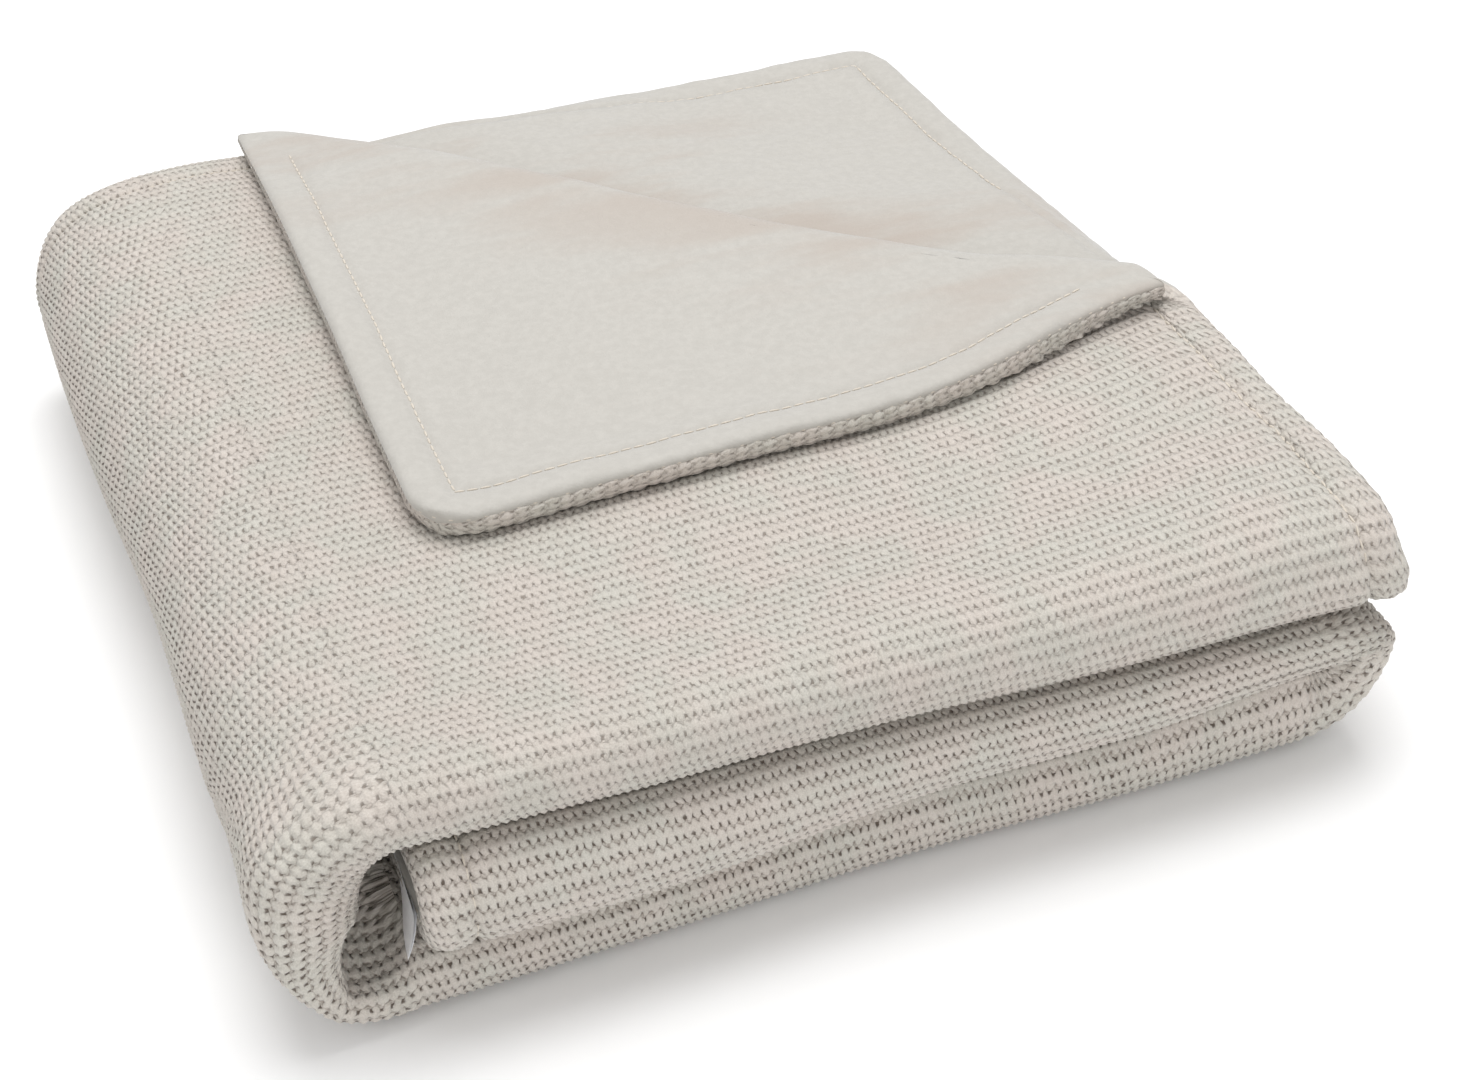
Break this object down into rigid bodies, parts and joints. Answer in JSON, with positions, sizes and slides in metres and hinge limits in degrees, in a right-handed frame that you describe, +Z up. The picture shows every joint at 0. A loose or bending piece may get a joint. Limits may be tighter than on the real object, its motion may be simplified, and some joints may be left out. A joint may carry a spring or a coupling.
{
  "type": "folded throw blanket",
  "caption": "Folded throw blanket with a chunky knit face and a plush fleece lining, rolled in thirds, one corner turned back to show the lining.",
  "frame": {"origin": "under the middle of the folded pile, on the surface that it lies on", "axes": "+X right along the front fold, +Y back towards the hems, +Z up through the layers"},
  "size_m": [0.34, 0.378, 0.0959],
  "materials": {
    "knit_face": "chunky reverse stocking stitch in a heathered oatmeal cotton and acrylic yarn, matt",
    "fleece_lining": "short plush coral fleece, pale oatmeal, soft nap",
    "sewing_thread": "spun polyester thread, tone in tone",
    "label_satin": "white woven satin tape, blank"
  },
  "bodies": {
    "care_label": {"care_label": "label_satin"},
    "base": {"fleece_bottom_third": "fleece_lining", "fleece_left_turn_lower": "fleece_lining", "fleece_middle_third": "fleece_lining", "fleece_right_turn": "fleece_lining", "knit_bottom_third": "knit_face", "knit_left_turn_lower": "knit_face", "knit_middle_third": "knit_face", "knit_right_turn": "knit_face", "seam_thread_bottom_third": "sewing_thread", "seam_thread_left_turn_lower": "sewing_thread", "seam_thread_middle_third": "sewing_thread", "seam_thread_right_turn": "sewing_thread", "topstitch_bottom_third": "sewing_thread", "topstitch_left_turn_lower": "sewing_thread", "topstitch_middle_third": "sewing_thread", "topstitch_right_turn": "sewing_thread"},
    "corner_flap": {"fleece_corner_flap": "fleece_lining", "knit_corner_flap": "knit_face", "seam_thread_corner_flap": "sewing_thread", "topstitch_corner_flap": "sewing_thread"},
    "top_third": {"fleece_corner_roll": "fleece_lining", "fleece_top_third": "fleece_lining", "knit_corner_roll": "knit_face", "knit_top_third": "knit_face", "seam_thread_top_third": "sewing_thread", "topstitch_top_third": "sewing_thread"},
    "left_turn": {"fleece_left_turn_upper": "fleece_lining", "knit_left_turn_upper": "knit_face", "seam_thread_left_turn_upper": "sewing_thread", "topstitch_left_turn_upper": "sewing_thread"}
  },
  "joints": [
    {"name": "left_turn_unrolls", "type": "hinge", "parent": "base", "child": "left_turn", "pos_m": [-0.154, 0.0045, 0.0229], "axis": [0, -1, 0], "range_deg": [0, 90], "deforming": ["fleece_left_turn_lower", "knit_left_turn_lower", "seam_thread_left_turn_lower", "topstitch_left_turn_lower"]},
    {"name": "top_third_opens", "type": "hinge", "parent": "left_turn", "child": "top_third", "pos_m": [-0.1471, 0.0045, 0.0666], "axis": [0, -1, 0], "range_deg": [0, 90], "deforming": ["fleece_left_turn_upper", "knit_left_turn_upper", "seam_thread_left_turn_upper", "topstitch_left_turn_upper"]},
    {"name": "corner_turns_back", "type": "hinge", "parent": "top_third", "child": "corner_flap", "pos_m": [0.039, 0.058, 0.08275], "axis": [-0.7071, 0.7071, 0], "range_deg": [0, 180], "deforming": ["fleece_corner_roll", "knit_corner_roll"]},
    {"name": "care_label_swings", "type": "hinge", "parent": "base", "child": "care_label", "pos_m": [-0.1278, -0.154, 0.046], "axis": [0, 1, 0], "range_deg": [0, 30]}
  ],
  "couplings": [
    {"joint": "top_third_opens", "follows": "left_turn_unrolls", "ratio": 1}
  ]
}
